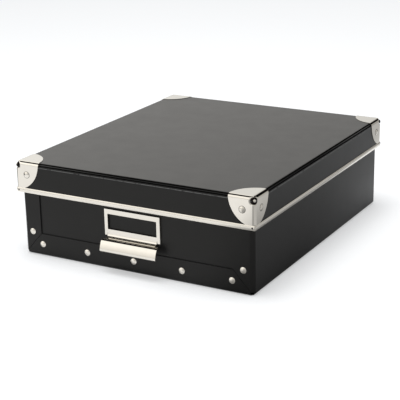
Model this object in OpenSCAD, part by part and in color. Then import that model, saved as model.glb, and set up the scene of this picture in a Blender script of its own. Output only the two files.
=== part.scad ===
// File box with a lift-off lid: folded black plastic sheet with nickel-plated fittings.
// Millimetres. The origin is the centre of the underside, +Z is up and the front faces -Y.

/* [Body] */
// Outer width of the body, side to side
body_w = 278; // [240:1:340]
// Outer depth of the body, front to back
body_d = 324; // [280:1:400]
// Height of the body's walls
body_h = 101.5; // [96:0.5:130]
// Thickness of the body's sheet
sheet_t = 1.2; // [1:0.1:1.6]
// Leg of the bevelled fold round the base
base_fold = 2.5; // [2:0.1:4]
// Leg of the bevelled fold at each upright corner
corner_fold = 3.9; // [3:0.1:5]
// Width of the corner strips, measured from the side of the body
strip_w = 22.6; // [20:0.2:30]
// Height of the flaps along the bottom of the front and the back
flap_h = 25; // [22:0.5:30]
// Width of the mitred seam between a strip and a flap
seam_gap = 0.4; // [0.2:0.1:0.8]
// Height of the open notch where the folds meet at each lower corner
notch_h = 3.6; // [3:0.1:6]
// Space between the edges of a front or back panel and the folds round it
panel_gap = 0.3; // [0.2:0.1:0.6]

/* [Creases] */
// Width of the score line along each fold
crease_w = 0.8; // [0.4:0.1:1.2]
// Depth of the score line
crease_depth = 0.3; // [0.1:0.05:0.5]

/* [Lid] */
// Thickness of the lid's sheet
lid_t = 1.2; // [1:0.1:1.6]
// Space between the body and the inside of the lid
lid_gap = 1.8; // [1.7:0.1:2.6]
// Space between the lid's folds and the top edges of the body, where the lid rests
seat_gap = 0.3; // [0.2:0.1:0.6]
// Height of the lid's sheet, from its lower edge to its top
skirt_h = 33.7; // [30:0.1:40]
// Leg of the bevelled fold round the top
lid_fold = 4.2; // [3.5:0.1:6]
// Bevel on the lid's upright corners, where the skirts meet
lid_corner = 1.5; // [1:0.1:2]
// Width of the slit between two skirts
slit_w = 0.6; // [0.3:0.1:1]

/* [Edge trims] */
// Thickness of the trims' sheet metal
trim_t = 0.4; // [0.3:0.05:0.5]
// Height of the trims' outer flange
trim_h = 5.1; // [4:0.1:7]
// Height of the trims' inner flange
trim_inner_h = 3.6; // [2:0.1:4]
// How far the outer flange bows out
trim_bow = 0.6; // [0.3:0.1:1]
// Space between two mitred trims
mitre_gap = 0.1; // [0.1:0.05:0.4]
// Diameter of the little hole punched near each end of the front and back trims
punch_d = 1.3; // [0.8:0.1:2]
// Distance of that hole from the side of the lid's sheet
punch_in = 2.4; // [2:0.1:6]

/* [Corner protectors] */
// Thickness of the protectors' sheet metal
guard_t = 0.5; // [0.4:0.05:0.7]
// Reach of their lobes down the upright edge
lobe_r = 31.5; // [26:0.5:32]
// Reach of their lobes along the two top edges
lobe_w = 29.5; // [25:0.5:32]
// Radius of the upright rounded edge
guard_round = 3; // [2.5:0.1:4]
// Radius of the ball pressed into the very corner
ball_r = 4; // [3.6:0.1:5]
// Distance of the ball's centre from the two upright faces
ball_in = 3.5; // [3:0.1:5]
// Distance of the ball's centre below the top
ball_drop = 5.4; // [4:0.1:7]
// Space between the lower tips of the protectors and the trims
guard_gap = 0.05; // [0.05:0.05:0.5]
// Distance of the protectors' rivets from the upright edge
guard_rivet_in = 14; // [11:0.5:16]
// Distance of the protectors' rivets below the top
guard_rivet_drop = 14.5; // [12:0.5:16]

/* [Rivets] */
// Diameter of the domed heads
head_d = 6.8; // [6:0.1:8]
// Height of the domed heads
head_h = 1.1; // [0.8:0.1:1.1]
// Diameter of the shanks
shank_d = 3.2; // [2.5:0.1:3.6]
// Radial space between a shank and its hole
shank_gap = 0.05; // [0.03:0.01:0.1]
// Diameter of the rolled-over ends
end_d = 4.8; // [4.4:0.1:5.4]
// Height of the rolled-over ends
end_h = 0.6; // [0.4:0.1:0.7]
// Diameter of the washers under the rolled-over ends
washer_d = 7; // [6:0.1:8]
// Thickness of the washers
washer_t = 0.4; // [0.3:0.05:0.5]
// Number of rivets along each flap
flap_rivets = 5; // [3:1:7]
// Distance of the outermost flap rivets from the sides of the body
flap_rivet_in = 24; // [22:0.5:30]
// Height of the flap rivets
flap_rivet_z = 13.3; // [12:0.1:15]
// Distance of the strip rivets from the sides of the body
strip_rivet_in = 11.5; // [11:0.5:14]
// Height of the lower strip rivets
strip_rivet_z = 26.3; // [26:0.1:36]
// Distance of the upper strip rivets below the top edge of the body
strip_rivet_drop = 19.5; // [19:0.5:24]

/* [Label holder] */
// Width of the label holder
holder_w = 67; // [55:1:80]
// Height of its flat frame
holder_h = 28.4; // [26:0.2:30]
// Thickness of its sheet metal
holder_t = 0.8; // [0.6:0.1:1]
// Depth of the slot behind it that takes the card
card_gap = 1.4; // [1:0.1:1.8]
// Distance of its top below the lid's trim
holder_drop = 4; // [3:0.5:6]
// Width of its side rails
side_rail_w = 4.1; // [3.6:0.1:6]
// Height of its top rail
top_rail_h = 5.1; // [3:0.1:6]
// Height of its window
window_h = 16.7; // [14:0.1:17]
// Slit between the pull's neck and each side rail
rail_slit = 0.4; // [0.2:0.1:0.6]
// Flat height between the window and the neck's bend
rail_flat = 2.8; // [2:0.1:4]
// Width of each prong that is clinched through the panel
prong_w = 4; // [3:0.5:6]
// Length of a prong's bent end
prong_l = 4; // [3:0.5:6]
// Distance of the prongs from the top and the bottom of the frame
prong_in = 5; // [4:0.5:7]
// Space round a prong in its slot
prong_gap = 0.05; // [0.05:0.05:0.3]

/* [Pull] */
// Radius of the bend where the neck leaves the frame
neck_r = 6; // [5:0.5:8]
// Length of the flat ledge
ledge_l = 3.9; // [3:0.1:5]
// Slope of the ledge, below level
ledge_slope = 25; // [15:1:35]
// Radius of the bend from the ledge to the lip
brow_r = 2.2; // [1.8:0.1:3]
// Slope at the top of the lip, below level
lip_slope = 60; // [50:1:65]
// Radius of the lip's shallow curve
lip_r = 24; // [18:1:32]
// Angle that the lip's curve turns through
lip_turn = 24; // [20:1:28]
// Radius of the rolled lower edge
curl_r = 1.2; // [1.1:0.1:1.6]

/* [Hidden] */
$fn = 48;
ARC_STEPS = 10;
CURL_TURN = 116;
BOW_START = 0.9;
CUT = 1;
BLACK = "#242526";
NICKEL = "#d9d3c8";

front_y = -body_d / 2;
lid_w = body_w + 2 * (lid_gap + lid_t);
lid_d = body_d + 2 * (lid_gap + lid_t);
lid_inner_fold = inner_leg(lid_fold, lid_t);
lid_top = body_h + seat_gap + lid_t + max(0, lid_inner_fold - lid_gap);
skirt_z = lid_top - skirt_h;
trim_z = skirt_z - trim_t;
trim_top = trim_z + trim_h;
guard_top = lid_top + guard_t;
guard_x = lid_w / 2 + guard_t;
guard_y = lid_d / 2 + guard_t;
panel_w = body_w - 2 * (sheet_t + inner_leg(corner_fold, sheet_t) + panel_gap);
panel_z = sheet_t + inner_leg(base_fold, sheet_t) + panel_gap;
flap_pitch = (body_w - 2 * flap_rivet_in) / (flap_rivets - 1);
upper_strip_rivet_z = body_h - strip_rivet_drop;

// Label holder: its frame's front face, its top and its bottom, on the front of the body
plate_y = sheet_t - card_gap - holder_t;
holder_top = trim_z - holder_drop;
holder_z = holder_top - holder_h;
window_top = holder_top - top_rail_h;
window_z = window_top - window_h;
window_w = holder_w - 2 * side_rail_w;
bend_z = window_z - rail_flat;
neck_w = window_w + rail_slit;

// ---- Folded sheet ----

// Leg of the inner face of a bevelled fold, for the leg of its outer face and the sheet
function inner_leg(leg, t) = leg - t * (2 - sqrt(2));

// Three points that score a crease at p, between the directions of its two neighbours
function crease(p, a, b) = [
  p + a * crease_w / 2,
  p + (a + b) / norm(a + b) * crease_depth,
  p + b * crease_w / 2
];

// Section of a block w wide and h high with bevels of the given leg along its top
function bevel_section(w, h, leg) = [
  [-w / 2, 0], [w / 2, 0], [w / 2, h - leg], [w / 2 - leg, h], [-w / 2 + leg, h], [-w / 2, h - leg]
];

// The same block with rounded upper edges
function round_section(w, h, r) = concat(
  [[-w / 2, 0], [w / 2, 0]],
  arc([w / 2 - r, h - r], r, 0, 90),
  arc([-w / 2 + r, h - r], r, 90, 180)
);

// The bevelled section with a score line at each crease
function scored_section(w, h, leg) = let (s = 1 / sqrt(2)) concat(
  [[-w / 2, 0], [w / 2, 0]],
  crease([w / 2, h - leg], [0, -1], [-s, s]),
  crease([w / 2 - leg, h], [s, -s], [-1, 0]),
  crease([-w / 2 + leg, h], [1, 0], [-s, -s]),
  crease([-w / 2, h - leg], [s, s], [0, -1])
);

// Plan of a w by d rectangle with bevelled corners
function bevel_plan(w, d, leg) = [
  [-w / 2 + leg, -d / 2], [w / 2 - leg, -d / 2], [w / 2, -d / 2 + leg], [w / 2, d / 2 - leg],
  [w / 2 - leg, d / 2], [-w / 2 + leg, d / 2], [-w / 2, d / 2 - leg], [-w / 2, -d / 2 + leg]
];

// The same plan with a score line at each crease
function scored_plan(w, d, leg) = let (s = 1 / sqrt(2)) concat(
  crease([-w / 2 + leg, -d / 2], [-s, s], [1, 0]),
  crease([w / 2 - leg, -d / 2], [-1, 0], [s, s]),
  crease([w / 2, -d / 2 + leg], [-s, -s], [0, 1]),
  crease([w / 2, d / 2 - leg], [0, -1], [-s, s]),
  crease([w / 2 - leg, d / 2], [s, -s], [-1, 0]),
  crease([-w / 2 + leg, d / 2], [1, 0], [-s, -s]),
  crease([-w / 2, d / 2 - leg], [s, s], [0, -1]),
  crease([-w / 2, -d / 2 + leg], [0, 1], [s, -s])
);

// Points on an arc
function arc(centre, r, from, to) = [
  for (i = [0:ARC_STEPS])
    let (a = from + (to - from) * i / ARC_STEPS)
      centre + r * [cos(a), sin(a)]
];

// Plan of a w by d rectangle with round corners
function round_plan(w, d, r) = concat(
  arc([w / 2 - r, -d / 2 + r], r, -90, 0),
  arc([w / 2 - r, d / 2 - r], r, 0, 90),
  arc([-w / 2 + r, d / 2 - r], r, 90, 180),
  arc([-w / 2 + r, -d / 2 + r], r, 180, 270)
);

// Block that two sections and a plan leave standing: one section runs along Y, the other along X
module crossed_block(w, d, h, section_x, section_y, plan) {
  intersection() {
    rotate([90, 0, 0]) linear_extrude(d, center = true) polygon(section_x);
    rotate([90, 0, 90]) linear_extrude(w, center = true) polygon(section_y);
    linear_extrude(h) polygon(plan);
  }
}

// Outside of the body, upside down, so that its base fold lies on top
module body_block() {
  crossed_block(
    body_w, body_d, body_h,
    scored_section(body_w, body_h, base_fold),
    scored_section(body_d, body_h, base_fold),
    scored_plan(body_w, body_d, corner_fold)
  );
}

// Hollow of the body, upside down and open at the rim
module body_hollow() {
  w = body_w - 2 * sheet_t;
  d = body_d - 2 * sheet_t;
  h = body_h - sheet_t + CUT;
  leg = inner_leg(base_fold, sheet_t);
  translate([0, 0, -CUT])
    crossed_block(
      w, d, h,
      bevel_section(w, h, leg),
      bevel_section(d, h, leg),
      bevel_plan(w, d, inner_leg(corner_fold, sheet_t))
    );
}

// Repeats its children on the front and, turned round, on the back
module front_and_back() {
  children();
  mirror([0, 1, 0]) children();
}

// Repeats its children on the right and, mirrored, on the left
module both_sides() {
  children();
  mirror([1, 0, 0]) children();
}

// ---- Rivets ----

// Domed rivet: its head stands on z = 0, and its shank goes down through the grip and a washer
module rivet(grip) {
  dome_r = (pow(head_d / 2, 2) + pow(head_h, 2)) / (2 * head_h);
  reach = grip + washer_t;
  intersection() {
    translate([0, 0, head_h - dome_r]) sphere(dome_r);
    cylinder(h = head_h + CUT, d = head_d + CUT);
  }
  translate([0, 0, -reach]) cylinder(h = reach, d = shank_d);
  difference() {
    translate([0, 0, -reach - end_h]) cylinder(h = end_h, d = end_d);
    translate([0, 0, -reach - end_h]) sphere(end_h);
  }
}

// Flat washer below the grip of a rivet
module rivet_washer(grip) {
  translate([0, 0, -grip - washer_t])
    difference() {
      cylinder(h = washer_t, d = washer_d);
      translate([0, 0, -CUT]) cylinder(h = washer_t + 2 * CUT, d = shank_d + 2 * shank_gap);
    }
}

// Hole for a rivet, long enough for any grip
module rivet_hole() {
  translate([0, 0, -2 * (sheet_t + lid_t)])
    cylinder(h = 4 * (sheet_t + lid_t), d = shank_d + 2 * shank_gap);
}

// Places on the front, with the local z axis pointing out of it
module on_front(x, z) {
  translate([x, front_y, z]) rotate([90, 0, 0]) children();
}

module at_flap_rivets() {
  for (i = [0:flap_rivets - 1])
    on_front(-body_w / 2 + flap_rivet_in + i * flap_pitch, flap_rivet_z) children();
}

module at_strip_rivets() {
  for (x = [-1, 1] * (body_w / 2 - strip_rivet_in), z = [strip_rivet_z, upper_strip_rivet_z])
    on_front(x, z) children();
}

// The two rivets of the protector at the front right of the lid: one in front, one on the side
module at_guard_rivets() {
  z = guard_top - guard_rivet_drop;
  translate([guard_x - guard_rivet_in, -guard_y, z]) rotate([90, 0, 0]) children();
  translate([guard_x, -guard_y + guard_rivet_in, z]) rotate([0, 90, 0]) children();
}

// ---- Body ----

// Cut through the front wall above the flap and between the strips
module front_opening() {
  w = body_w - 2 * strip_w;
  translate([-w / 2, front_y - CUT, flap_h]) cube([w, sheet_t + 2 * CUT, body_h]);
}

// Mitred seam from the lower right corner of the front to the corner of the opening
module mitre_seam() {
  translate([body_w / 2, front_y - CUT, 0])
    rotate([0, -atan2(flap_h, -strip_w), 0])
      translate([0, 0, -seam_gap / 2])
        cube([norm([flap_h, strip_w]) + CUT, sheet_t + CUT, seam_gap]);
}

// Notch that leaves the lower right corner of the front open
module corner_notch() {
  translate([body_w / 2 - corner_fold, front_y - CUT, -CUT])
    cube([corner_fold + CUT, corner_fold + CUT, notch_h + CUT]);
}

module body_wrap() {
  color(BLACK)
    difference() {
      translate([0, 0, body_h]) mirror([0, 0, 1]) {
        difference() {
          body_block();
          body_hollow();
        }
      }
      front_and_back() {
        front_opening();
        both_sides() {
          mitre_seam();
          corner_notch();
        }
        at_flap_rivets() rivet_hole();
        at_strip_rivets() rivet_hole();
      }
    }
}

// Flat sheet behind the flap and the strips
module wall_panel() {
  difference() {
    translate([-panel_w / 2, front_y + sheet_t, panel_z])
      cube([panel_w, sheet_t, body_h - panel_z]);
    at_flap_rivets() rivet_hole();
    at_strip_rivets() rivet_hole();
  }
}

module front_panel() {
  color(BLACK)
    difference() {
      wall_panel();
      prongs(prong_gap);
    }
}

module back_panel() {
  color(BLACK) mirror([0, 1, 0]) wall_panel();
}

module flap_rivet_row() {
  color(NICKEL) at_flap_rivets() rivet(2 * sheet_t);
}

module strip_rivet_set() {
  color(NICKEL) at_strip_rivets() rivet(2 * sheet_t);
}

module wall_washers() {
  color(NICKEL) {
    at_flap_rivets() rivet_washer(2 * sheet_t);
    at_strip_rivets() rivet_washer(2 * sheet_t);
  }
}

// ---- Label holder with its pull ----

// The pull's curve in front of the body, as centres of its bends in the plane of Y and Z
ledge_dir = [-cos(ledge_slope), -sin(ledge_slope)];
ledge_out = [-sin(ledge_slope), cos(ledge_slope)];
lip_end = 90 + lip_slope + lip_turn;
neck_c = [plate_y - neck_r, bend_z];
ledge_from = neck_c + neck_r * [sin(ledge_slope), -cos(ledge_slope)];
ledge_to = ledge_from + ledge_l * ledge_dir;
brow_c = ledge_to - brow_r * ledge_out;
lip_from = brow_c + brow_r * [-sin(lip_slope), cos(lip_slope)];
lip_c = lip_from + lip_r * [sin(lip_slope), -cos(lip_slope)];
curl_c = lip_c + (lip_r - curl_r) * [cos(lip_end), sin(lip_end)];

// The lip's face, set back by a distance from its outer face
function lip_line(back) = concat(
  arc(brow_c, brow_r - back, 90 + ledge_slope, 90 + lip_slope),
  arc(lip_c, lip_r - back, 90 + lip_slope, lip_end),
  arc(curl_c, curl_r - back, lip_end, lip_end + CURL_TURN)
);

// The neck's face, from the window's edge to the end of the ledge
function neck_line(back) = concat(
  [[plate_y + back, window_z]],
  arc(neck_c, neck_r + back, 0, ledge_slope - 90),
  [ledge_to - back * ledge_out]
);

function reversed(points) = [for (i = [len(points) - 1:-1:0]) points[i]];

// Strip of sheet metal of width w across the body, that follows a line and is set back from it
module bent_strip(w, face, back) {
  rotate([90, 0, 90]) linear_extrude(w, center = true) polygon(concat(face, reversed(back)));
}

// Four prongs that go through the panel and are bent flat behind it, grown by a space
module prongs(space) {
  for (z = [holder_z + prong_in, holder_top - prong_in - prong_w])
    both_sides()
      translate([holder_w / 2 - holder_t - space, front_y + sheet_t - space, z - space])
        cube([holder_t + 2 * space, sheet_t + holder_t + space, prong_w + 2 * space]);
}

module prong_ends() {
  for (z = [holder_z + prong_in, holder_top - prong_in - prong_w])
    both_sides()
      translate([holder_w / 2 - prong_l, front_y + 2 * sheet_t, z])
        cube([prong_l, holder_t, prong_w]);
}

module label_holder_pull() {
  color(NICKEL) {
    difference() {
      translate([-holder_w / 2, front_y + plate_y, holder_z])
        cube([holder_w, holder_t, holder_h]);
      translate([-window_w / 2, front_y + plate_y - CUT, window_z])
        cube([window_w, holder_t + 2 * CUT, window_h]);
      translate([-neck_w / 2 - rail_slit, front_y + plate_y - CUT, holder_z - CUT])
        cube([neck_w + 2 * rail_slit, holder_t + 2 * CUT, bend_z - holder_z + CUT]);
    }
    both_sides()
      translate([holder_w / 2 - holder_t, front_y + plate_y, holder_z])
        cube([holder_t, sheet_t - plate_y, holder_h]);
    translate([0, front_y, 0]) {
      bent_strip(neck_w, neck_line(0), neck_line(holder_t));
      bent_strip(holder_w, lip_line(0), lip_line(holder_t));
    }
    prongs(0);
    prong_ends();
  }
}

// ---- Lid ----

// Plain solid that the protectors are seated on
module lid_core() {
  crossed_block(
    lid_w, lid_d, skirt_h,
    bevel_section(lid_w, skirt_h, lid_fold),
    bevel_section(lid_d, skirt_h, lid_fold),
    bevel_plan(lid_w, lid_d, lid_corner)
  );
}

module lid_hollow() {
  w = lid_w - 2 * lid_t;
  d = lid_d - 2 * lid_t;
  h = skirt_h - lid_t + CUT;
  translate([0, 0, -CUT])
    intersection() {
      rotate([90, 0, 0]) linear_extrude(d, center = true) polygon(bevel_section(w, h, lid_inner_fold));
      rotate([90, 0, 90]) linear_extrude(w, center = true) polygon(bevel_section(d, h, lid_inner_fold));
    }
}

// Slit between the front skirt and the right skirt
module corner_slit() {
  translate([lid_w / 2 - lid_t, front_y - lid_gap, -CUT])
    rotate([0, 0, -45])
      translate([-CUT, -slit_w / 2, 0])
        cube([lid_t + 3 * CUT, slit_w, skirt_h - lid_fold - crease_w + CUT]);
}

module lid_sheet() {
  color(BLACK)
    difference() {
      translate([0, 0, skirt_z])
        difference() {
          crossed_block(
            lid_w, lid_d, skirt_h,
            scored_section(lid_w, skirt_h, lid_fold),
            scored_section(lid_d, skirt_h, lid_fold),
            bevel_plan(lid_w, lid_d, lid_corner)
          );
          lid_hollow();
          front_and_back() both_sides() corner_slit();
        }
      front_and_back() both_sides() at_guard_rivets() rivet_hole();
    }
}

// ---- Edge trims ----

// Section of a trim: x is the distance out from the skirt, y the height above the skirt's edge
function trim_section() =
  let (
    rise = trim_h / 2,
    r = (rise * rise + trim_bow * trim_bow) / (2 * trim_bow),
    half = asin(rise / r),
    c = [trim_t + trim_bow - r, rise - trim_t]
  ) concat(
    [[-lid_t - trim_t, -trim_t]],
    arc(c, r, -half, half),
    reversed(arc(c, r - trim_t, -half * BOW_START, half)),
    [[0, 0], [-lid_t, 0], [-lid_t, trim_inner_h], [-lid_t - trim_t, trim_inner_h]]
  );

// Trim along the side of length l whose skirt faces -Y at a distance of from the middle
module trim_bar(l, from) {
  reach = trim_t + trim_bow + CUT;
  inside = lid_t + trim_t + CUT;
  gap = mitre_gap / sqrt(2);
  intersection() {
    translate([0, -from, skirt_z])
      rotate([90, 0, -90]) linear_extrude(l + 4 * CUT, center = true) polygon(trim_section());
    translate([0, -from, trim_z - CUT])
      linear_extrude(trim_h + 2 * CUT)
        polygon([
          [-l / 2 - reach + gap, -reach], [l / 2 + reach - gap, -reach],
          [l / 2 - inside - gap, inside], [-l / 2 + inside + gap, inside]
        ]);
  }
}

// Rounds the outer corners of a trim
module trim_ends() {
  out = trim_t + trim_bow;
  intersection() {
    children();
    translate([0, 0, trim_z - CUT])
      linear_extrude(trim_h + 2 * CUT) polygon(round_plan(lid_w + 2 * out, lid_d + 2 * out, out + trim_t));
  }
}

// Little hole through the outer flange, near each end of the front trim
module trim_punches() {
  both_sides()
    translate([lid_w / 2 - punch_in, -lid_d / 2, trim_z + trim_h / 2])
      rotate([90, 0, 0]) cylinder(h = trim_t + trim_bow + CUT, d = punch_d);
}

module front_trim() {
  color(NICKEL)
    difference() {
      trim_ends() trim_bar(lid_w, lid_d / 2);
      trim_punches();
    }
}

module back_trim() {
  mirror([0, 1, 0]) front_trim();
}

module right_trim() {
  color(NICKEL) trim_ends() rotate([0, 0, 90]) trim_bar(lid_d, lid_w / 2);
}

module left_trim() {
  mirror([1, 0, 0]) right_trim();
}

// ---- Corner protectors ----

// Block over the lid, grown by a distance, with rounded upper and upright edges
module guard_block(grow) {
  w = lid_w + 2 * grow;
  d = lid_d + 2 * grow;
  h = skirt_h + grow;
  r = lid_fold - guard_t + grow;
  translate([0, 0, skirt_z])
    crossed_block(
      w, d, h,
      round_section(w, h, r),
      round_section(d, h, r),
      round_plan(w, d, guard_round - guard_t + grow)
    );
}

// Ball in the very corner
module guard_ball() {
  translate([guard_x - ball_in, -guard_y + ball_in, guard_top - ball_drop]) sphere(ball_r);
}

// Protector at the front right of the lid: three lobes round the corner, pressed from one sheet
module protector() {
  color(NICKEL)
    difference() {
      intersection() {
        union() {
          guard_block(guard_t);
          guard_ball();
        }
        translate([guard_x, -guard_y, guard_top])
          scale([lobe_w / lobe_r, lobe_w / lobe_r, 1]) sphere(lobe_r, $fn = 96);
        translate([0, -lid_d, trim_top + guard_gap]) cube([lid_w, lid_d, skirt_h]);
      }
      difference() {
        guard_block(0);
        guard_ball();
      }
      translate([0, 0, skirt_z]) lid_core();
      at_guard_rivets() rivet_hole();
    }
}

module guard_rivet_pair() {
  color(NICKEL) at_guard_rivets() rivet(guard_t + lid_t);
}

module lid_rivet_washers() {
  color(NICKEL)
    front_and_back() both_sides() at_guard_rivets() rivet_washer(guard_t + lid_t);
}

body_wrap();
front_panel();
back_panel();
flap_rivet_row();  // front_flap_rivets
strip_rivet_set();  // front_strip_rivets
wall_washers();  // front_rivet_washers
mirror([0, 1, 0]) flap_rivet_row();  // back_flap_rivets
mirror([0, 1, 0]) strip_rivet_set();  // back_strip_rivets
mirror([0, 1, 0]) wall_washers();  // back_rivet_washers
label_holder_pull();
lid_sheet();
front_trim();
back_trim();
left_trim();
right_trim();
mirror([1, 0, 0]) protector();  // front_left_protector
protector();  // front_right_protector
mirror([1, 0, 0]) mirror([0, 1, 0]) protector();  // back_left_protector
mirror([0, 1, 0]) protector();  // back_right_protector
mirror([1, 0, 0]) guard_rivet_pair();  // front_left_rivets
guard_rivet_pair();  // front_right_rivets
mirror([1, 0, 0]) mirror([0, 1, 0]) guard_rivet_pair();  // back_left_rivets
mirror([0, 1, 0]) guard_rivet_pair();  // back_right_rivets
lid_rivet_washers();
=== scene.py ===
import math

import bmesh
import bpy
from mathutils import Matrix, Vector


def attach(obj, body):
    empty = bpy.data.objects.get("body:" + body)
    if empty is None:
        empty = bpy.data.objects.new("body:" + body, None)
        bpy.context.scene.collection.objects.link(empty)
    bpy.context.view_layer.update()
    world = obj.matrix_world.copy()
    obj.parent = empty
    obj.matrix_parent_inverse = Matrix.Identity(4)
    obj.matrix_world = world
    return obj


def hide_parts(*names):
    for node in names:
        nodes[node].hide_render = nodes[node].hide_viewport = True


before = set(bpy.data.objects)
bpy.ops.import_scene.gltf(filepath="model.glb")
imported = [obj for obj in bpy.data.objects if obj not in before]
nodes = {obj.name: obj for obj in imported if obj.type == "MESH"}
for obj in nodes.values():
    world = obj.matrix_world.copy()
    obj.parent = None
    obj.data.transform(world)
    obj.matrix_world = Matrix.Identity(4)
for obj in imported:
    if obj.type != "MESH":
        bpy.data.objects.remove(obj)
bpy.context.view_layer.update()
scene = bpy.context.scene

# ---- Camera ----
# The photograph was taken from the front right and a little above, with a long lens.
# Its place was fitted to the box's straight edges. Places are in metres here, and the front faces -Y.
CAMERA_PLACE = (0.6321, -1.1377, 0.4684)
CAMERA_TURN = math.radians(29.49)
CAMERA_DIP = math.radians(18.55)
CAMERA_ROLL = math.radians(-1.14)
LENS = 108.33
SENSOR = 36
camera_data = bpy.data.cameras.new("camera")
camera_data.lens = LENS
camera_data.sensor_width = SENSOR
camera = bpy.data.objects.new("camera", camera_data)
scene.collection.objects.link(camera)
camera.matrix_world = (
    Matrix.Translation(CAMERA_PLACE)
    @ Matrix.Rotation(CAMERA_TURN, 4, "Z")
    @ Matrix.Rotation(math.pi / 2 - CAMERA_DIP, 4, "X")
    @ Matrix.Rotation(CAMERA_ROLL, 4, "Z")
)
scene.camera = camera
scene.view_settings.view_transform = "Standard"

# ---- Studio ----
# A white floor that runs out of sight, a soft lamp overhead and a pale dome all round. Mirrors and gloss see
# the dome brighter towards the left, with a dark part of the ceiling and a dark part of the back wall in it.
FLOOR_SIZE = 6
FLOOR_COLOUR = (0.93, 0.94, 0.95, 1)
FLOOR_LIFT = 0.3
FLOOR_GLOW = (1.2, 1.2, 1.2, 1)
# Dimmer parts of the mirrored floor: the way that they lie, where they begin, and their colour
DIM_FLOOR = (
    (Vector((0, -1, 0)), (0.17, 0.25), (0.86, 0.86, 0.86, 1)),
    (Vector((1, -0.25, 0)), (0.108, 0.158), (0.32, 0.32, 0.32, 1)),
    (Vector((1, 0, 0)), (0.235, 0.27), (0.48, 0.48, 0.48, 1)),
    (Vector((-0.8, 0.6, 0)), (0.16, 0.22), (0.06, 0.06, 0.06, 1)),
)
WHITE = (1, 1, 1, 1)
DOME_COLOUR = (0.98, 0.99, 1.0, 1)
DOME_STRENGTH = 0.72
MIRRORED_COLOUR = (1.0, 0.985, 0.95, 1)
BRIGHT_AIM = Vector((-1, 0, 0))
BRIGHT_SPAN = (0, 0.7)
MIRRORED_STRENGTH = (0.6, 1.3)
LOW_SPAN = (0, 0.4)
LOW_STRENGTH = (0.8, 1.15)
DARK_COLOUR = (0.006, 0.006, 0.006, 1)
# Dark parts of the mirrored room: where the middle is, and how far its edge is from there, in degrees
CEILING = (Vector((-0.49, -0.12, 0.865)).normalized(), 22, 17)
BACK_WALL = (Vector((0.32, 0.78, 0.53)).normalized(), 27, 17)
LAMP_PLACE = Vector((-0.15, -0.15, 1.7))
LAMP_SIZE = 0.9
LAMP_POWER = 16


def shade(tree, kind, feeds=None, **settings):
    """Adds a shader node. feeds gives its sockets a value each, or the socket that feeds them."""
    made = tree.nodes.new("ShaderNode" + kind)
    for name, value in settings.items():
        setattr(made, name, value)
    for socket, value in (feeds or {}).items():
        if isinstance(value, bpy.types.NodeSocket):
            tree.links.new(value, made.inputs[socket])
        else:
            made.inputs[socket].default_value = value
    return made


def mixed(tree, share, first, second):
    """Mixes two colours and returns the socket of the mix."""
    mix = shade(tree, "Mix", {"Factor": share, 6: first, 7: second}, data_type="RGBA")
    return mix.outputs[2]


def ranged(tree, value, source, target=(0, 1), smooth=False):
    """Maps a value from one range to another, clamped, and returns the socket."""
    feeds = {"Value": value, "From Min": source[0], "From Max": source[1], "To Min": target[0], "To Max": target[1]}
    return shade(tree, "MapRange", feeds, interpolation_type="SMOOTHSTEP" if smooth else "LINEAR").outputs[0]


world = bpy.data.worlds.new("studio")
scene.world = world
world.use_nodes = True
tree = world.node_tree
tree.nodes.clear()
ray = shade(tree, "LightPath")
sky = shade(tree, "TexCoord").outputs["Generated"]
mirrored = MIRRORED_COLOUR
for aim, outer, inner in (CEILING, BACK_WALL):
    toward = shade(tree, "VectorMath", {0: sky, 1: aim}, operation="DOT_PRODUCT").outputs["Value"]
    edge = math.cos(math.radians(outer)), math.cos(math.radians(inner))
    mirrored = mixed(tree, ranged(tree, toward, edge, smooth=True), mirrored, DARK_COLOUR)
leftward = shade(tree, "VectorMath", {0: sky, 1: BRIGHT_AIM}, operation="DOT_PRODUCT").outputs["Value"]
height = shade(tree, "SeparateXYZ", {"Vector": sky}).outputs["Z"]
low = ranged(tree, height, LOW_SPAN, LOW_STRENGTH)
bright = ranged(tree, leftward, BRIGHT_SPAN, MIRRORED_STRENGTH)
strength = shade(tree, "Math", {0: bright, 1: low}, operation="MULTIPLY")
dome = shade(tree, "Background", {"Color": DOME_COLOUR, "Strength": DOME_STRENGTH})
mirror_dome = shade(tree, "Background", {"Color": mirrored, "Strength": strength.outputs[0]})
backdrop = shade(tree, "Background", {"Color": WHITE, "Strength": 1})
lit = shade(tree, "MixShader", {0: ray.outputs["Is Glossy Ray"], 1: dome.outputs[0], 2: mirror_dome.outputs[0]})
seen = shade(tree, "MixShader", {0: ray.outputs["Is Camera Ray"], 1: lit.outputs[0], 2: backdrop.outputs[0]})
shade(tree, "OutputWorld", {"Surface": seen.outputs[0]})

paint = bpy.data.materials.new("floor_paint")
paint.use_nodes = True
tree = paint.node_tree
tree.nodes.clear()
ray = shade(tree, "LightPath")
shown = shade(tree, "Math", {0: ray.outputs["Is Camera Ray"], 1: FLOOR_LIFT}, operation="MULTIPLY")
spot = shade(tree, "TexCoord").outputs["Object"]
floor_colour = FLOOR_COLOUR
for side, span, colour in DIM_FLOOR:
    beside = shade(tree, "VectorMath", {0: spot, 1: side}, operation="DOT_PRODUCT").outputs["Value"]
    floor_colour = mixed(tree, ranged(tree, beside, span, (0, ray.outputs["Is Glossy Ray"])), floor_colour, colour)
matt = shade(tree, "BsdfDiffuse", {"Color": floor_colour})
glow = shade(tree, "Emission", {"Color": FLOOR_GLOW, "Strength": 1})
seen = shade(tree, "MixShader", {0: shown.outputs[0], 1: matt.outputs[0], 2: glow.outputs[0]})
shade(tree, "OutputMaterial", {"Surface": seen.outputs[0]})

bm = bmesh.new()
bmesh.ops.create_grid(bm, x_segments=1, y_segments=1, size=FLOOR_SIZE / 2)
floor_mesh = bpy.data.meshes.new("floor")
bm.to_mesh(floor_mesh)
bm.free()
floor_mesh.materials.append(paint)
floor = bpy.data.objects.new("floor", floor_mesh)
scene.collection.objects.link(floor)

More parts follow.
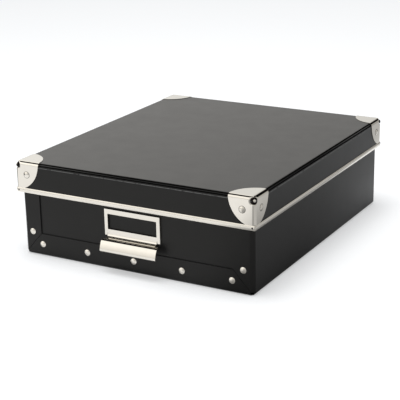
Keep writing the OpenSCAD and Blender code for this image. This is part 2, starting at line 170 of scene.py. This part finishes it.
lamp_data = bpy.data.lights.new("soft_lamp", "AREA")
lamp_data.energy = LAMP_POWER
lamp_data.size = LAMP_SIZE
lamp = bpy.data.objects.new("soft_lamp", lamp_data)
scene.collection.objects.link(lamp)
lamp.matrix_world = Matrix.Translation(LAMP_PLACE) @ (-LAMP_PLACE).to_track_quat("-Z", "Y").to_matrix().to_4x4()
lamp.visible_camera = False
lamp.visible_glossy = False

# ---- Body wrap ----
# One blank of black plastic sheet with a fine grain, scored and folded up round the base.
# Its flaps and strips are riveted to the front and back panels.
MM = 0.001
BLACK = (0.0042, 0.0042, 0.0044, 1)
BLACK_WORN = (0.0065, 0.0065, 0.0066, 1)
EDGE_SOFTNESS = 0.18 * MM
WELD_REACH = 0.002 * MM
GRAIN_SIZE = 1500
GRAIN_DEPTH = 0.03 * MM
MOTTLE_SIZE = 50
BLACK_IOR = 1.348
BLACK_TINT = (1, 0.975, 0.93, 1)


def group_with(name, inputs, outputs):
    """Starts a shader group with named inputs and outputs, and returns it with both ends."""
    group = bpy.data.node_groups.new(name, "ShaderNodeTree")
    for socket, kind in inputs:
        group.interface.new_socket(socket, in_out="INPUT", socket_type="NodeSocket" + kind)
    for socket, kind in outputs:
        group.interface.new_socket(socket, in_out="OUTPUT", socket_type="NodeSocket" + kind)
    return group, group.nodes.new("NodeGroupInput"), group.nodes.new("NodeGroupOutput")


fine_grain, given, out = group_with(
    "fine_grain",
    [("Grain size", "Float"), ("Mottle size", "Float")],
    [("Height", "Float"), ("Mottle", "Float")],
)
place = shade(fine_grain, "TexCoord").outputs["Object"]
grain = shade(fine_grain, "TexNoise", {"Vector": place, "Scale": given.outputs[0], "Detail": 3, "Roughness": 0.6})
mottle = shade(fine_grain, "TexNoise", {"Vector": place, "Scale": given.outputs[1], "Detail": 4, "Roughness": 0.55})
fine_grain.links.new(grain.outputs["Fac"], out.inputs["Height"])
fine_grain.links.new(mottle.outputs["Fac"], out.inputs["Mottle"])


def use_group(tree, group, **values):
    """Places a shader group in a material, with its own values."""
    made = tree.nodes.new("ShaderNodeGroup")
    made.node_tree = group
    for socket, value in values.items():
        made.inputs[socket.replace("_", " ").capitalize()].default_value = value
    return made


def black_sheet(name):
    """Black sheet with a fine grain, a faint mottle in its gloss and slightly paler worn spots."""
    material = bpy.data.materials.new(name)
    material.use_nodes = True
    tree = material.node_tree
    surface = tree.nodes["Principled BSDF"]
    grain = use_group(tree, fine_grain, grain_size=GRAIN_SIZE, mottle_size=MOTTLE_SIZE)
    bump = shade(tree, "Bump", {"Height": grain.outputs["Height"], "Strength": 0.35, "Distance": GRAIN_DEPTH})
    tree.links.new(mixed(tree, grain.outputs["Mottle"], BLACK, BLACK_WORN), surface.inputs["Base Color"])
    tree.links.new(ranged(tree, grain.outputs["Mottle"], (0.3, 0.7), (0.32, 0.35)), surface.inputs["Roughness"])
    tree.links.new(bump.outputs["Normal"], surface.inputs["Normal"])
    surface.inputs["IOR"].default_value = BLACK_IOR
    surface.inputs["Specular Tint"].default_value = BLACK_TINT
    return material


def round_edges(piece, width, angle):
    """Rounds the edges of a piece that are sharper than an angle, in degrees."""
    rounded = piece.modifiers.new("rounded_edges", "BEVEL")
    rounded.width = width
    rounded.segments = 2
    rounded.limit_method = "ANGLE"
    rounded.angle_limit = math.radians(angle)
    rounded.harden_normals = True


def soften(cad_node, material):
    """Gives a CAD node its material and rounds its edges a little, as a cut or folded sheet has them."""
    cad_node.data.materials.clear()
    cad_node.data.materials.append(material)
    weld = cad_node.modifiers.new("weld", "WELD")
    weld.merge_threshold = WELD_REACH
    round_edges(cad_node, EDGE_SOFTNESS, 25)


body_black = black_sheet("body_black")
soften(nodes["body_wrap"], body_black)

# ---- Front and back panels ----
# Flat sheets of the same black plastic, behind the flaps and between the folds.
# They're held by the rivets, and the front one carries the label holder.
for name in ("front_panel", "back_panel"):
    soften(nodes[name], body_black)

# ---- Body rivets ----
# Domed nickel-plated rivets through flap, strip and panel, with their ends rolled over inside
# on flat washers. Five stand along each flap and two on each strip.
HEAD_RADIUS = 3.4 * MM
HEAD_HEIGHT = 1.1 * MM
HEAD_RIM = 0.22 * MM
SHANK_RADIUS = 1.6 * MM
END_RADIUS = 2.4 * MM
END_HEIGHT = 0.6 * MM
WASHER_RADIUS = 3.5 * MM
WASHER_HOLE = 1.65 * MM
WASHER_THICKNESS = 0.4 * MM
ROUND_STEPS = 40
BODY_GRIP = 2.4 * MM
BODY_FRONT = -162 * MM
FLAP_RIVET_X = [(-115 + 57.5 * i) * MM for i in range(5)]
FLAP_RIVET_Z = 13.3 * MM
STRIP_RIVET_X = 127.5 * MM
STRIP_RIVET_Z = (26.3 * MM, 82 * MM)
NICKEL = (0.86, 0.82, 0.75, 1)
NICKEL_DULL = (0.76, 0.72, 0.65, 1)
# Painted shade for the recesses that ambient occlusion finds
RECESS_SHADE = (0.04, 0.034, 0.028, 1)

# A mask for painted shade: how closely nearby surfaces shut a spot in
recess, given, out = group_with("recess", [("Reach", "Float")], [("Depth", "Float")])
shut = shade(recess, "AmbientOcclusion", {"Distance": given.outputs[0]}, samples=8, only_local=False)
recess.links.new(ranged(recess, shut.outputs["AO"], (0.3, 0.85), (1, 0)), out.inputs["Depth"])


def nickel_plate(name, gloss=(0.14, 0.2), reach=0.0015):
    """Bright, slightly warm nickel plating, with fine drawing marks in its gloss and painted shade in its recesses.
    """
    material = bpy.data.materials.new(name)
    material.use_nodes = True
    tree = material.node_tree
    surface = tree.nodes["Principled BSDF"]
    grain = use_group(tree, fine_grain, grain_size=900, mottle_size=60)
    hollow = use_group(tree, recess, reach=reach)
    bump = shade(tree, "Bump", {"Height": grain.outputs["Height"], "Strength": 0.08, "Distance": 0.01 * MM})
    roughness = ranged(tree, grain.outputs["Mottle"], (0.3, 0.7), gloss)
    plating = mixed(tree, grain.outputs["Mottle"], NICKEL, NICKEL_DULL)
    # Painted shade in the recesses
    plating = mixed(tree, hollow.outputs["Depth"], plating, RECESS_SHADE)
    tree.links.new(plating, surface.inputs["Base Color"])
    tree.links.new(roughness, surface.inputs["Roughness"])
    tree.links.new(bump.outputs["Normal"], surface.inputs["Normal"])
    surface.inputs["Metallic"].default_value = 1
    return material


def finished(name, bm, body, finish, material, *cad_nodes, sharp=40):
    """Makes a mesh into a piece that rides on a body and stands for CAD nodes."""
    mesh = bpy.data.meshes.new(name)
    bm.to_mesh(mesh)
    bm.free()
    mesh.materials.append(material)
    mesh.polygons.foreach_set("use_smooth", [True] * len(mesh.polygons))
    mesh.set_sharp_from_angle(angle=math.radians(sharp))
    piece = bpy.data.objects.new(name, mesh)
    scene.collection.objects.link(piece)
    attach(piece, body)
    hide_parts(*cad_nodes)
    return piece


def turned(bm, profile, place):
    """Turns a profile of (radius, height) points round the Z axis and puts it in its place."""
    points = [bm.verts.new((radius, 0, height)) for radius, height in profile]
    lines = [bm.edges.new(pair) for pair in zip(points, points[1:])]
    bmesh.ops.spin(
        bm, geom=points + lines, cent=(0, 0, 0), axis=(0, 0, 1), angle=2 * math.pi, steps=ROUND_STEPS, use_merge=True
    )
    turned_verts = {v for face in bm.faces for v in face.verts if not v.tag}
    bmesh.ops.transform(bm, matrix=place, verts=list(turned_verts))
    for v in turned_verts:
        v.tag = True


def arc(centre, radius, start, end, steps):
    """Points on an arc, from one angle to another, in degrees."""
    angles = [math.radians(start + (end - start) * i / steps) for i in range(steps + 1)]
    return [(centre[0] + radius * math.cos(a), centre[1] + radius * math.sin(a)) for a in angles]


def rivet_profile(grip):
    """Half section of a rivet, from the top of its domed head to the hollow in its rolled end."""
    bulge = (HEAD_RADIUS**2 + HEAD_HEIGHT**2) / (2 * HEAD_HEIGHT)
    low = math.degrees(math.asin((bulge - HEAD_HEIGHT + HEAD_RIM) / bulge))
    dome = arc((0, HEAD_HEIGHT - bulge), bulge, 90, low, 9)
    reach = -grip - WASHER_THICKNESS
    lip = END_HEIGHT / 2
    return (
        dome
        + [(HEAD_RADIUS, HEAD_RIM * 0.5), (HEAD_RADIUS - HEAD_RIM * 0.3, 0), (SHANK_RADIUS, 0), (SHANK_RADIUS, reach)]
        + [(END_RADIUS - lip, reach)]
        + arc((END_RADIUS - lip, reach - lip), lip, 90, -90, 6)[1:]
        + arc((0, reach - END_HEIGHT), END_HEIGHT, 0, 90, 4)
    )


def washer_profile(grip):
    """Closed half section of a washer under a grip, with its corners rounded off."""
    soft = WASHER_THICKNESS / 4
    top, low = -grip, -grip - WASHER_THICKNESS
    ring = [(WASHER_HOLE, low), (WASHER_RADIUS - soft, low), (WASHER_RADIUS, low + soft), (WASHER_RADIUS, top - soft)]
    return ring + [(WASHER_RADIUS - soft, top), (WASHER_HOLE, top), (WASHER_HOLE, low)]


def closed(bm):
    """Joins the seams and poles of turned shapes and points their faces outwards."""
    bmesh.ops.remove_doubles(bm, verts=bm.verts, dist=0.001 * MM)
    bmesh.ops.recalc_face_normals(bm, faces=bm.faces)


front_out = Matrix.Rotation(math.pi / 2, 4, "X")
nickel_rivets = nickel_plate("rivet_nickel", (0.2, 0.3))
flap_places = [(x, BODY_FRONT, FLAP_RIVET_Z) for x in FLAP_RIVET_X]
strip_places = [(side * STRIP_RIVET_X, BODY_FRONT, z) for side in (-1, 1) for z in STRIP_RIVET_Z]
half_turn = Matrix.Rotation(math.pi, 4, "Z")
for end, turn in (("front", Matrix.Identity(4)), ("back", half_turn)):
    for group, places, profile in (
        ("flap_rivets", flap_places, rivet_profile(BODY_GRIP)),
        ("strip_rivets", strip_places, rivet_profile(BODY_GRIP)),
        ("rivet_washers", flap_places + strip_places, washer_profile(BODY_GRIP)),
    ):
        bm = bmesh.new()
        for place in places:
            turned(bm, profile, turn @ Matrix.Translation(place) @ front_out)
        closed(bm)
        name = end + "_" + group
        finished(name + "_turned", bm, "box", "nickel", nickel_rivets, name)

# ---- Label holder and pull ----
# One blank of sheet steel, nickel-plated: a frame whose sides turn back to prongs clinched through the
# panel, and a tongue below the window that bends forward into a ledge and a curved lip with a rolled edge.
HOLDER_SHEET = 0.8 * MM
HOLDER_EDGE = 0.12 * MM
RAIL_END = 38.2
# Half of the blank's columns: distance from the middle, and distance back from the frame's face
COLUMNS = [(29.4, 0), (29.6, 0), (30, 0), (32.8, 0), (33.295, 0.205), (33.5, 0.7), (33.5, 2.2)]
COLUMNS += [(33.5, 3.5), (33.295, 3.995), (32.8, 4.2), (29.5, 4.2)]
SLIT, RAIL, RETURN, PRONG = 1, 2, 5, 6
# Rows down the frame, as heights: the prongs and the window lie between some of them
FRAME_ROWS = [66.6, 61.6, 61.5, 57.6, 47.2, 44.8, 43.2]
PRONG_ROWS = (1, 2, 4, 5)
WINDOW_ROWS = (2, 3, 4)
BEND_ROW = 7

# The tongue's outer face in the plane of Y and Z, as distances from the front of the body
neck = arc((-5.5, 40.656), 4.5, 0, -75, 12)
lip = arc((-3.858, 30.225), 6, 105, 150, 10) + arc((11.731, 21.224), 24, 150, 172.08, 10)[1:]
lip += arc((-10.852, 24.366), 1.2, 172.08, 290, 8)[1:]
tongue = [(-1, z) for z in FRAME_ROWS] + neck + lip
LIP_ROW = len(FRAME_ROWS + neck)
columns = [(-across, back) for across, back in reversed(COLUMNS)] + COLUMNS


def grid_of(bm, columns, rows, place, keep=lambda i, j: True):
    """Makes a grid of faces, drops the cells that aren't kept and puts each corner in its place."""
    made = bmesh.ops.create_grid(bm, x_segments=columns - 1, y_segments=rows - 1, size=1)["verts"]
    cells = list({face for v in made for face in v.link_faces})

    def index(co):
        return (co.x + 1) / 2 * (columns - 1), (1 - co.y) / 2 * (rows - 1)

    dropped = [face for face in cells if not keep(*map(int, index(face.calc_center_median())))]
    bmesh.ops.delete(bm, geom=dropped, context="FACES")
    for v in bm.verts:
        v.co = place(*map(round, index(v.co)))


def on_blank(i, j):
    """Keeps the cells of the blank that are metal."""
    half = len(COLUMNS)
    k = max(i - half, half - 2 - i)
    if k < SLIT:
        return k == 0 or j not in WINDOW_ROWS
    if k < RAIL:
        return j < BEND_ROW or j >= LIP_ROW
    if k < RETURN:
        return j <= BEND_ROW or j >= LIP_ROW
    return j <= BEND_ROW if k < PRONG else j in PRONG_ROWS


def fold_blank(i, j):
    """Puts a corner of the blank where the folds take it."""
    across, back = columns[i]
    ahead, height = tongue[j]
    if j == BEND_ROW + 1 and abs(across) > 29.7:
        ahead, height = -1, RAIL_END
    if j >= LIP_ROW:
        back = 0
    return across * MM, BODY_FRONT + (ahead + back) * MM, height * MM


def with_wall(piece, thickness):
    """Gives an open shell its wall, inwards."""
    wall = piece.modifiers.new("wall", "SOLIDIFY")
    wall.thickness = thickness
    wall.offset = -1
    wall.use_even_offset = True


bm = bmesh.new()
grid_of(bm, len(columns), len(tongue), fold_blank, on_blank)
holder_nickel = nickel_plate("holder_nickel", (0.04, 0.09), 0.0008)
holder = finished("label_holder_pull_folded", bm, "box", "nickel", holder_nickel, "label_holder_pull")
with_wall(holder, HOLDER_SHEET)
round_edges(holder, HOLDER_EDGE, 40)

# ---- Lid sheet ----
# A second blank of the black sheet: the top, a fold round it with two grooves pressed along it, and four
# skirts that meet at a slit in each corner. Shade is painted into the grooves, and a highlight along the lower edge
# of the fold.
LID_HALF = (142 * MM, 165 * MM)
LID_TOP = 104.697 * MM
LID_SHEET = 1.2 * MM
LID_FOLD = 4.2
LID_CORNER = 1.5
LID_TIP = 4
TIP_DROP = 9
SLIT_DROP = 5.0
SKIRT_DROP = 33.697
SLIT_SHARES = (0, 0.36, 0.64, 1)
GROOVE_AT = (60, 24)
GROOVE_SINK = 0.45
GROOVE_SPREAD = 4.5
LID_EDGE = 0.15 * MM
# Bands round the lid, as drops from its top: the two grooves with painted shade, and the painted highlight along the
# fold's lower edge
LID_BANDS = ((1, (0.2, 1.15)), (1, (1.8, 3.1)), (2, (LID_FOLD, 5.0)))
# Painted shade for the grooves, and a painted highlight for the lower edge of the fold
LID_GROOVE_SHADE = (0.0012, 0.0012, 0.0012, 1)
LID_FOLD_HIGHLIGHT = (0.13, 0.13, 0.127, 1)
GUARD_RIVETS = (
    Matrix.Translation((128.5 * MM, -165.5 * MM, 90.7 * MM)) @ front_out,
    Matrix.Translation((142.5 * MM, -151.5 * MM, 90.7 * MM)) @ Matrix.Rotation(math.pi / 2, 4, "Y"),
)
RIVET_HOLE = 1.65 * MM
HOLE_DEPTH = 8 * MM
corners = {"front_right": (1, -1), "back_right": (1, 1), "back_left": (-1, 1), "front_left": (-1, -1)}


def drill(cutter_bm, radius, depth, place, segments=32):
    """Adds a round cutter to a mesh, along the Z axis of its place."""
    bmesh.ops.create_cone(
        cutter_bm, cap_ends=True, segments=segments, radius1=radius, radius2=radius, depth=depth, matrix=place
    )


def cut(piece, cutter_bm):
    """Cuts a closed shape out of a piece's mesh."""
    cutter_mesh = bpy.data.meshes.new("cutter")
    cutter_bm.to_mesh(cutter_mesh)
    cutter_bm.free()
    cutter = bpy.data.objects.new("cutter", cutter_mesh)
    scene.collection.objects.link(cutter)
    boolean = piece.modifiers.new("cut", "BOOLEAN")
    boolean.object = cutter
    boolean.solver = "EXACT"
    mesh = bpy.data.meshes.new_from_object(piece.evaluated_get(bpy.context.evaluated_depsgraph_get()))
    piece.modifiers.clear()
    piece.data = mesh
    bpy.data.objects.remove(cutter)


def fold_point(angle):
    """Point on the fold: its distance in from the skirt's face, and its drop from the top's face."""
    sink = sum(math.exp(-(((angle - groove) / GROOVE_SPREAD) ** 2)) for groove in GROOVE_AT)
    radius = LID_FOLD - GROOVE_SINK * sink
    return LID_FOLD - radius * math.cos(math.radians(angle)), LID_FOLD - radius * math.sin(math.radians(angle))


# Rows round the lid, as distances in from the skirt's face and drops from the top
lid_rows = [(LID_FOLD + 2, 0), (LID_FOLD + 0.6, 0)] + [fold_point(angle) for angle in range(90, -1, -2)]
lid_rows += [(0, LID_FOLD + 0.4), (0, SLIT_DROP), (0, TIP_DROP), (0, TIP_DROP + 1), (0, SKIRT_DROP)]


def lid_place(i, j):
    """Puts a corner of the ring round the lid in its place. It has four columns at each corner of the lid."""
    inset, drop = lid_rows[j]
    turn, step = divmod(i, 4)
    x_way, y_way = list(corners.values())[turn % 4]
    share = SLIT_SHARES[step] if turn % 2 == 0 else 1 - SLIT_SHARES[step]
    leg = max((LID_TIP if drop <= TIP_DROP else LID_CORNER) - (2 - math.sqrt(2)) * inset, 0)
    x = LID_HALF[0] - (inset + leg * (1 - share)) * MM
    y = LID_HALF[1] - (inset + leg * share) * MM
    return x * x_way, y * y_way, LID_TOP - drop * MM


def in_lid(i, j):
    """Keeps the cells that are sheet, and leaves the slit in each corner open."""
    return i % 4 != 1 or lid_rows[j][1] < SLIT_DROP


def matt_black(name, patches):
    """The sheet without gloss and patchy towards another colour, for the shade painted into the grooves and the
    highlight painted along the fold.
    """
    material = bpy.data.materials.new(name)
    material.use_nodes = True
    tree = material.node_tree
    surface = tree.nodes["Principled BSDF"]
    grain = use_group(tree, fine_grain, grain_size=GRAIN_SIZE, mottle_size=220)
    patchy = ranged(tree, grain.outputs["Mottle"], (0.25, 0.5))
    bump = shade(tree, "Bump", {"Height": grain.outputs["Height"], "Strength": 0.3, "Distance": GRAIN_DEPTH})
    tree.links.new(mixed(tree, patchy, BLACK, patches), surface.inputs["Base Color"])
    tree.links.new(bump.outputs["Normal"], surface.inputs["Normal"])
    surface.inputs["Roughness"].default_value = 0.7
    surface.inputs["IOR"].default_value = 1.1
    return material


lid_black = black_sheet("lid_black")
bm = bmesh.new()
grid_of(bm, 17, len(lid_rows), lid_place, in_lid)
for face in bm.faces:
    drop = (LID_TOP - face.calc_center_median().z) / MM
    face.material_index = next((slot for slot, (high, low) in LID_BANDS if high < drop < low), 0)
bmesh.ops.remove_doubles(bm, verts=bm.verts, dist=0.001 * MM)
top_edge = [e for e in bm.edges if e.is_boundary and min(v.co.z for v in e.verts) > LID_TOP - 0.01 * MM]
bmesh.ops.holes_fill(bm, edges=top_edge, sides=0)
bmesh.ops.recalc_face_normals(bm, faces=bm.faces)
lid = finished("lid_sheet_folded", bm, "lid", "black_sheet", lid_black, "lid_sheet")
# The grooves get painted shade, and the lower edge of the fold a painted highlight
lid.data.materials.append(matt_black("groove_painted_shade", LID_GROOVE_SHADE))
lid.data.materials.append(matt_black("fold_painted_highlight", LID_FOLD_HIGHLIGHT))
with_wall(lid, LID_SHEET)
holes = bmesh.new()
for x_way, y_way in corners.values():
    for place in GUARD_RIVETS:
        drill(holes, RIVET_HOLE, HOLE_DEPTH, Matrix.Diagonal((x_way, -y_way, 1, 1)) @ place)
bmesh.ops.recalc_face_normals(holes, faces=holes.faces)
cut(lid, holes)
round_edges(lid, LID_EDGE, 50)

# ---- Edge trims ----
# Nickel-plated U-shaped strips pressed over the lower edges of the skirts and mitred at the corners.
# Their outer flange bows out. The front and the back ones have a little hole near each end.
TRIM_BASE = 71.0
TRIM_ROUND = 0.4
MITRE_SHIFT = 0.05 * math.sqrt(2)
TRIM_EDGE = 0.1 * MM
PUNCH_PLACE = (139.6 * MM, -166 * MM, 73.15 * MM)
PUNCH_RADIUS = 1 * MM
PUNCH_DEPTH = 1.9 * MM

# Section of a trim: distance out from the skirt, and height above the skirt's lower edge
section = [(-1.6, -0.4)] + arc((-4.719, 2.15), 5.719, -26.48, 26.48, 14)
section += arc((-4.719, 2.15), 5.319, 26.48, -23.83, 10)
section += [(0, 0), (-1.2, 0), (-1.2, 3.6), (-1.6, 3.6), (-1.6, -0.4)]
TURNS = [45 - 5 * i for i in range(10)]


def trim_bar(bm, along, away):
    """A trim along a skirt that faces -Y, of half length along, at a distance away from the middle."""
    ends = [(-1, turn) for turn in TURNS] + [(1, turn) for turn in reversed(TURNS)]

    def place(i, j):
        end, turn = ends[i]
        out, height = section[j]
        reach = out + TRIM_ROUND
        angle = math.radians(turn)
        if reach > 0:
            side, front = reach * math.sin(angle), reach * math.cos(angle)
        else:
            side, front = (reach if turn == 45 else 0), reach
        x = along / MM - TRIM_ROUND + side - MITRE_SHIFT * (turn == 45)
        return end * x * MM, -away - (front - TRIM_ROUND) * MM, (TRIM_BASE + height) * MM

    grid_of(bm, len(ends), len(section), place)
    bmesh.ops.remove_doubles(bm, verts=bm.verts, dist=0.001 * MM)
    bmesh.ops.holes_fill(bm, edges=[e for e in bm.edges if e.is_boundary], sides=0)
    bmesh.ops.recalc_face_normals(bm, faces=bm.faces)


trim_nickel = nickel_plate("trim_nickel")
for name, turn, long_side in (
    ("front_trim", 0, True),
    ("back_trim", math.pi, True),
    ("left_trim", -math.pi / 2, False),
    ("right_trim", math.pi / 2, False),
):
    bm = bmesh.new()
    along, away = LID_HALF if long_side else reversed(LID_HALF)
    trim_bar(bm, along, away)
    bmesh.ops.rotate(bm, verts=bm.verts, matrix=Matrix.Rotation(turn, 3, "Z"))
    trim = finished(name + "_rolled", bm, "lid", "nickel", trim_nickel, name)
    if long_side:
        punch = bmesh.new()
        for side in (-1, 1):
            spot = Matrix.Translation((side * PUNCH_PLACE[0], *PUNCH_PLACE[1:]))
            drill(punch, PUNCH_RADIUS, PUNCH_DEPTH, Matrix.Rotation(turn, 4, "Z") @ spot @ front_out, segments=24)
        cut(trim, punch)
    round_edges(trim, TRIM_EDGE, 40)

# ---- Corner protectors ----
# Three lobes round each corner of the lid, pressed from one sheet of steel over the folds, with a ball
# pressed into the tip and a trough round the ball. Nickel-plated, and held by a rivet in front and at the side.
GUARD_CORNER = (142.5, -165.5, 105.2)
GUARD_SHEET = 0.5 * MM
GUARD_EDGE = 0.16 * MM
GUARD_BEND = 4.2
GUARD_ROUND = 3
LOBE_REACH = Vector((29.5, 29.5, 31.5))
LOBE_LOW = 29.45
BALL = Vector((2.35, 2.35, 4.8))
BALL_RADIUS = 2.5
TROUGH_DEPTH = 1.0
TROUGH_WIDTH = 1.3
TROUGH_SOFT = 0.3
CROWN_AXIS = Vector((1, 1, 0.5)).normalized()
# Painted shade round the ball and the rivets' heads, and painted shade on the top face
PAINTED_SHADE = (0.012, 0.010, 0.009, 1)
TOP_FACE_SHADE = (0.56, 0.545, 0.51, 1)
# Where the top face begins, the ball's crown ends, and the painted shade round the ball and the painted shadow round
# the rivets end
TOP_SPAN = (104.8 * MM, 105.1 * MM)
CROWN_SPAN = (2 * MM, 2.2 * MM)
BALL_SHADE_SPAN = (3.7 * MM, 4.2 * MM)
RIVET_SHADOW_SPAN = (HEAD_RADIUS + 0.25 * MM, HEAD_RADIUS + 0.55 * MM)
GUARD_MIDDLE = Vector((9, 9, 9))
GUARD_AXIS = Vector((1, 1, 1)).normalized()
GUARD_SIDE = Vector((1, -1, 0)).normalized()
GUARD_TURN = GUARD_AXIS.cross(GUARD_SIDE)
AROUND = 300
RINGS = 60


def in_bend(first, second, radius):
    """Depth under two faces at right angles, with a bend of a radius between them."""
    if first < radius and second < radius:
        return radius - math.hypot(radius - first, radius - second)
    return min(first, second)


def guard_depth(p):
    """Depth of a point under the protector's face. The point is given from the protector's tip, inwards."""
    depth = in_bend(in_bend(p.x, p.y, GUARD_ROUND), p.z, GUARD_BEND)
    ball = BALL_RADIUS - (p - BALL).length
    trough = depth - TROUGH_DEPTH * math.exp(-((ball / TROUGH_WIDTH) ** 2))
    return max(ball, trough) + max(TROUGH_SOFT - abs(ball - trough), 0) ** 2 / (4 * TROUGH_SOFT)


def halved(low, high, test, times=24):
    """Closes in on the place between low and high where a test stops being true."""
    for _ in range(times):
        middle = (low + high) / 2
        low, high = (middle, high) if test(middle) else (low, middle)
    return low


def guard_point(around, out):
    """Point on the protector's face, at an angle round its tip and an angle away from its tip."""
    side = GUARD_SIDE * math.cos(around) + GUARD_TURN * math.sin(around)
    way = side * math.sin(out) - GUARD_AXIS * math.cos(out)
    return GUARD_MIDDLE + way * halved(0, 60, lambda t: guard_depth(GUARD_MIDDLE + way * t) > 0)


def on_lobes(p):
    """Says whether a point is on the three lobes, above the trim."""
    reach = math.hypot(p.x / LOBE_REACH.x, p.y / LOBE_REACH.y, p.z / LOBE_REACH.z)
    return reach < 1 and p.z < LOBE_LOW


rims = []
for i in range(AROUND):
    around = 2 * math.pi * i / AROUND
    rims.append(halved(0, math.radians(140), lambda out: on_lobes(guard_point(around, out)), 16))


def guard_place(i, j):
    """Puts a corner of the net that runs from the tip to the lobes' rims in its place."""
    around = 2 * math.pi * i / AROUND
    p = guard_point(around, rims[i % AROUND] * j / (RINGS - 1))
    return (GUARD_CORNER[0] - p.x) * MM, (GUARD_CORNER[1] + p.y) * MM, (GUARD_CORNER[2] - p.z) * MM


guard_nickel = nickel_plate("guard_nickel", (0.04, 0.09), 0.003)
tree = guard_nickel.node_tree
colour = tree.nodes["Principled BSDF"].inputs["Base Color"]
# The plating is painted darker on the top face and round the ball's crown, as shade, in all four corners alike
even = shade(tree, "VectorMath", {0: shade(tree, "TexCoord").outputs["Object"]}, operation="ABSOLUTE").outputs[0]
height = shade(tree, "SeparateXYZ", {"Vector": even}).outputs["Z"]
on_top = ranged(tree, height, TOP_SPAN)
middle = tuple((abs(tip) - ball) * MM for tip, ball in zip(GUARD_CORNER, BALL))
from_ball = shade(tree, "VectorMath", {0: even, 1: middle}, operation="SUBTRACT").outputs[0]
away = shade(tree, "VectorMath", {0: from_ball}, operation="LENGTH").outputs["Value"]
crown = shade(tree, "VectorMath", {0: from_ball, 1: CROWN_AXIS}, operation="DOT_PRODUCT").outputs["Value"]
beside = ranged(tree, crown, CROWN_SPAN, (1, 0))
ball_shade = shade(tree, "Math", {0: beside, 1: ranged(tree, away, BALL_SHADE_SPAN, (1, 0))}, operation="MULTIPLY")
# A thin ring of shadow is painted round each rivet's head
from_heads = []
for place in GUARD_RIVETS:
    head = [abs(v) for v in place.translation]
    from_heads.append(shade(tree, "VectorMath", {0: even, 1: head}, operation="DISTANCE").outputs["Value"])
nearest = shade(tree, "Math", dict(enumerate(from_heads)), operation="MINIMUM").outputs[0]
rivet_shadow = ranged(tree, nearest, RIVET_SHADOW_SPAN, (1, 0))
# Painted shade on the top face, then painted shadow round the rivets' heads
plating = mixed(tree, on_top, colour.links[0].from_socket, TOP_FACE_SHADE)
plating = mixed(tree, rivet_shadow, plating, PAINTED_SHADE)
# Painted shade round the ball, outside its crown
tree.links.new(mixed(tree, ball_shade.outputs[0], plating, PAINTED_SHADE), colour)
guard_bm = bmesh.new()
grid_of(guard_bm, AROUND + 1, RINGS, guard_place)
bmesh.ops.remove_doubles(guard_bm, verts=guard_bm.verts, dist=0.002 * MM)
for corner, (x_way, y_way) in corners.items():
    bm = guard_bm.copy()
    bmesh.ops.scale(bm, verts=bm.verts, vec=(x_way, -y_way, 1))
    bmesh.ops.recalc_face_normals(bm, faces=bm.faces)
    top = max(bm.faces, key=lambda face: face.calc_center_median().z)
    if top.normal.z < 0:
        bmesh.ops.reverse_faces(bm, faces=bm.faces)
    name = corner + "_protector"
    guard = finished(name + "_pressed", bm, "lid", "nickel", guard_nickel, name, sharp=180)
    with_wall(guard, GUARD_SHEET)
    round_edges(guard, GUARD_EDGE, 60)
guard_bm.free()

# ---- Lid rivets ----
# The same domed rivets, one through the front lobe and one through the side lobe of each protector,
# with their ends rolled over washers inside the skirts.
LID_GRIP = 1.7 * MM
washers = bmesh.new()
for corner, (x_way, y_way) in corners.items():
    flip = Matrix.Diagonal((x_way, -y_way, 1, 1))
    bm = bmesh.new()
    for place in GUARD_RIVETS:
        turned(bm, rivet_profile(LID_GRIP), flip @ place)
        turned(washers, washer_profile(LID_GRIP), flip @ place)
    closed(bm)
    finished(corner + "_rivets_turned", bm, "lid", "nickel", nickel_rivets, corner + "_rivets")
closed(washers)
finished("lid_rivet_washers_turned", washers, "lid", "nickel", nickel_rivets, "lid_rivet_washers")
